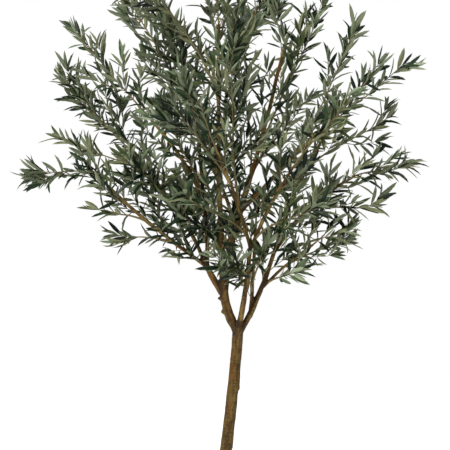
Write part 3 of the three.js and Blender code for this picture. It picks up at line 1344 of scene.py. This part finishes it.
def twig_materials():
    return [plain_material(f"twig {name}", colour, 0.75, 0.3) for name, colour in TWIG_TINTS]


PALE_BARK = (0.165, 0.105, 0.027, 1)
DULL_BARK = (0.040, 0.017, 0.003, 1)
RUSSET_BARK = (0.125, 0.048, 0.007, 1)
BARK_ROUGHNESS = 0.70
BARK_SPECULAR = 0.22
YOUNG_GIRTHS = (0.015, 0.006)  # the bark turns from old to young between these girths


def bark_material(wood):
    """Golden brown bark: streaks along the limb, rings across it, painted shade in its furrows and
    crotches, paler boughs.
    """
    material = bpy.data.materials.new("olive bark")
    material.use_nodes = True
    tree = material.node_tree
    shader = tree.nodes["Principled BSDF"]
    shader.inputs["Roughness"].default_value = BARK_ROUGHNESS
    shader.inputs["Specular IOR Level"].default_value = BARK_SPECULAR

    def attribute(name, output="Fac"):
        return add_node(tree, "ShaderNodeAttribute", {}, attribute_name=name).outputs[output]

    grain = attribute("grain", "Vector")

    def noise_of(stretch, scale, detail):
        mapping = add_node(tree, "ShaderNodeMapping", {"Vector": grain, "Scale": stretch})
        inputs = {"Vector": mapping.outputs["Vector"], "Scale": scale, "Detail": detail}
        return add_node(tree, "ShaderNodeTexNoise", inputs).outputs["Fac"]

    def ramp(value, low, high, most=1.0):
        inputs = {"Value": value, "From Min": low, "From Max": high, "To Max": most}
        node = add_node(tree, "ShaderNodeMapRange", inputs, interpolation_type="SMOOTHSTEP")
        return node.outputs["Result"]

    def mixed(share, a, b):
        node = add_node(tree, "ShaderNodeMix", {"Factor": share}, data_type="RGBA")
        colours = [socket for socket in node.inputs if socket.type == "RGBA"]
        for socket, value in zip(colours, (a, b)):
            if isinstance(value, tuple):
                socket.default_value = value
            else:
                tree.links.new(value, socket)
        return next(socket for socket in node.outputs if socket.type == "RGBA")

    old, young = (*wood.old_colour, 1), (*wood.young_colour, 1)
    furrow_and_shade = (*wood.furrow_and_shade_colour, 1)
    coats = (  # where each coat lies, from where to where it comes in, its most, its colour
        (noise_of((1, 1, 0.12), 170, 4), 0.40, 0.68, 0.80, PALE_BARK),  # streaks
        (noise_of((1, 1, 0.25), 40, 3), 0.52, 0.64, 0.80, RUSSET_BARK),  # patches
        (noise_of((1, 1, 0.18), 75, 3), 0.48, 0.64, 0.80, DULL_BARK),  # blotches
        (noise_of((1, 1, 0.6), 230, 2), 0.52, 0.66, 0.45, PALE_BARK),  # specks
        (noise_of((0.4, 0.4, 1.8), 95, 4), 0.51, 0.68, 0.60, furrow_and_shade),  # rings
        # painted shade: the bark darkens to the furrow colour where its relief dips into furrows
        (attribute("relief"), -0.05, -0.50, 0.65, furrow_and_shade),
        # painted shade: the bark darkens to the furrow colour in the crotches between limbs
        (attribute("painted_crotch_shade"), 0.0, 0.8, 0.90, furrow_and_shade),
    )
    base = mixed(ramp(attribute("girth"), *YOUNG_GIRTHS), old, young)
    for value, low, high, most, colour in coats:
        base = mixed(ramp(value, low, high, most), base, colour)
    tree.links.new(base, shader.inputs["Base Color"])
    height = noise_of((1, 1, 0.2), 420, 5)
    fine = add_node(
        tree, "ShaderNodeBump", {"Height": height, "Strength": 0.45, "Distance": 0.0012}
    )
    tree.links.new(fine.outputs["Normal"], shader.inputs["Normal"])
    return material


# ---- Operators ----


KEY_LAMP = (2.4, Vector((-2.4, -3.0, 3.6)))  # its size and its place
FILL_LAMP = (1.8, Vector((3.0, -2.2, 2.0)))
LAMP_AIM = 0.6  # the lamps aim at this share of the tree's height
SENSOR = 36  # width in millimetres


class OLIVE_OT_stage(Operator):
    """Lay the floor and set the sky, the lamps and the camera round the tree"""

    bl_idname = "olive.stage"
    bl_label = "Stage"

    def execute(self, context):
        stage = context.scene.olive_stage
        self.floor(stage)
        self.sky(context.scene, stage)
        self.lamp("key lamp", stage.key_light, *KEY_LAMP)
        self.lamp("fill lamp", stage.fill_light, *FILL_LAMP)
        self.camera(context.scene, stage)
        context.scene.view_settings.view_transform = "Standard"
        return {"FINISHED"}

    def floor(self, stage):
        made = bmesh.new()
        bmesh.ops.create_circle(made, cap_ends=True, segments=96, radius=stage.floor_radius)
        mesh = bpy.data.meshes.new("floor")
        made.to_mesh(mesh)
        made.free()
        pale = plain_material("pale floor", stage.floor_colour, 0.9, 0.1)
        shader = pale.node_tree.nodes["Principled BSDF"]
        shader.inputs["Emission Color"].default_value = WHITE
        shader.inputs["Emission Strength"].default_value = stage.floor_glow
        mesh.materials.append(pale)
        new_object("floor", mesh)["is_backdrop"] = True

    def sky(self, scene, stage):
        """Even pale light, and the same pale white behind the tree."""
        scene.world = bpy.data.worlds.new("pale sky")
        scene.world.use_nodes = True
        tree = scene.world.node_tree
        light = tree.nodes["Background"]
        light.inputs["Strength"].default_value = stage.sky_light
        light.inputs["Color"].default_value = WHITE
        seen = add_node(tree, "ShaderNodeBackground", {"Strength": 1.0, "Color": WHITE})
        path = add_node(tree, "ShaderNodeLightPath", {})
        mix = add_node(tree, "ShaderNodeMixShader", {
            "Fac": path.outputs["Is Camera Ray"],
            1: light.outputs["Background"],
            2: seen.outputs["Background"],
        })
        tree.links.new(mix.outputs["Shader"], tree.nodes["World Output"].inputs["Surface"])

    def lamp(self, name, power, size, place):
        lamp = bpy.data.lights.new(name, "AREA")
        lamp.energy = power
        lamp.size = size
        made = new_object(name, lamp)
        made.location = place
        aim = Vector((0, 0, (CAD_BOX[0].z + CAD_BOX[1].z) * LAMP_AIM)) - place
        made.rotation_euler = aim.to_track_quat("-Z", "Y").to_euler()

    def camera(self, scene, stage):
        camera = bpy.data.cameras.new("camera")
        camera.lens = stage.lens
        camera.sensor_width = SENSOR
        made = new_object("camera", camera)
        made.location = (stage.aside, -stage.distance, stage.eye_height)
        made.rotation_euler = (math.pi / 2, 0, 0)
        scene.camera = made


class OLIVE_OT_wood(Operator):
    """Make the trunk and the boughs as one mesh with the bark's relief"""

    bl_idname = "olive.wood"
    bl_label = "Trunk and boughs"

    def execute(self, context):
        wood = context.scene.olive_wood
        limbs, _ = read_frame(wood)
        body = new_object("wood_body", wood_body(limbs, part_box("trunk")[1].z))
        remesh = body.modifiers.new("one skin", "REMESH")
        remesh.mode = "VOXEL"
        remesh.voxel_size = wood.grain
        soften = body.modifiers.new("soften", "SMOOTH")
        soften.factor = 0.5
        soften.iterations = 5
        made = baked(body, "wood")
        carve_bark(made.data, limbs, wood.relief)
        made.data.polygons.foreach_set("use_smooth", [True] * len(made.data.polygons))
        made.data.materials.clear()
        made.data.materials.append(bark_material(wood))
        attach(made, "root")
        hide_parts(*[limb.name for limb in limbs])
        return {"FINISHED"}


class OLIVE_OT_crown(Operator):
    """Grow the leaders, the shoots and the leaves out to the shape of each foliage solid"""

    bl_idname = "olive.crown"
    bl_label = "Twigs and leaves"

    def execute(self, context):
        scene = context.scene
        limbs, crown = read_frame(scene.olive_wood)
        shoots = grow_crown(scene.olive_growth, scene.olive_leaf, limbs, crown)
        sweep = twig_tree(twig_materials())
        spray = leaf_tree(*leaf_materials())
        group = bpy.data.collections.new("leaf_shapes")
        for i, shape in enumerate(LEAF_SHAPES):
            leaf_shape(f"{i}_{shape[0]}", *shape[1:], group)
        for region in REGIONS:
            grown = [s for s in shoots if s.region == region]
            self.twigs(region, grown, sweep)
            masses = [m.name for m in crown.masses if m.region == region]
            self.leaves(region, grown, spray, group, scene, masses)
        for leaf in list(group.objects):
            bpy.data.objects.remove(leaf)
        bpy.data.collections.remove(group)
        return {"FINISHED"}

    def twigs(self, region, grown, sweep):
        lines = new_object("twig_lines", twig_lines(grown, "twig_lines"))
        modifier = lines.modifiers.new("sweep", "NODES")
        modifier.node_group = sweep
        set_inputs(modifier, sweep, {"Sides": 6, "Thickness": 1.0})
        made = baked(lines, "twigs_" + region)
        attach(made, "root")

    def leaves(self, region, grown, spray, group, scene, masses):
        leaf = scene.olive_leaf
        draw = random.Random(scene.olive_growth.seed * 31 + REGIONS.index(region))
        sites = [site for shoot in grown for site in leaves_on(shoot, leaf, draw)]
        points = new_object("leaf_points", leaf_points(sites, "leaf_points"))
        modifier = points.modifiers.new("spray", "NODES")
        modifier.node_group = spray
        values = {"Leaf shapes": group, "Width": leaf.width, "Length": leaf.length}
        set_inputs(modifier, spray, values)
        made = baked(points, "foliage_" + region)
        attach(made, "root")
        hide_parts(*masses)


class OLIVE_PT_panel(Panel):
    """Lists the settings and the steps of the tree"""

    bl_idname = "OLIVE_PT_panel"
    bl_label = "Olive Tree"
    bl_space_type = "VIEW_3D"
    bl_region_type = "UI"
    bl_category = "Olive Tree"

    def draw(self, context):
        for operator, settings in STEPS:
            box = self.layout.box()
            for name in settings:
                group = getattr(context.scene, name)
                for key in group.__annotations__:
                    box.prop(group, key)
            box.operator(operator.bl_idname)


STEPS = (
    (OLIVE_OT_stage, ("olive_stage",)),
    (OLIVE_OT_wood, ("olive_wood",)),
    (OLIVE_OT_crown, ("olive_growth", "olive_leaf")),
)
SETTINGS = {
    "olive_stage": OliveStageSettings,
    "olive_wood": OliveWoodSettings,
    "olive_growth": OliveGrowthSettings,
    "olive_leaf": OliveLeafSettings,
}


def register():
    """Make the classes and the settings known to Blender."""
    for name, group in SETTINGS.items():
        bpy.utils.register_class(group)
        setattr(bpy.types.Scene, name, PointerProperty(type=group))
    for operator, _ in STEPS:
        bpy.utils.register_class(operator)
    bpy.utils.register_class(OLIVE_PT_panel)


def unregister():
    """Take the classes and the settings out again."""
    bpy.utils.unregister_class(OLIVE_PT_panel)
    for operator, _ in reversed(STEPS):
        bpy.utils.unregister_class(operator)
    for name, group in SETTINGS.items():
        delattr(bpy.types.Scene, name)
        bpy.utils.unregister_class(group)


def main():
    register()
    bpy.ops.olive.stage()
    bpy.ops.olive.wood()
    bpy.ops.olive.crown()
    boxes = {"cad": CAD_BOX, "visual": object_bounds()}
    {name: [list(low), list(high)] for name, (low, high) in boxes.items()}


if __name__ == "__main__":
    main()
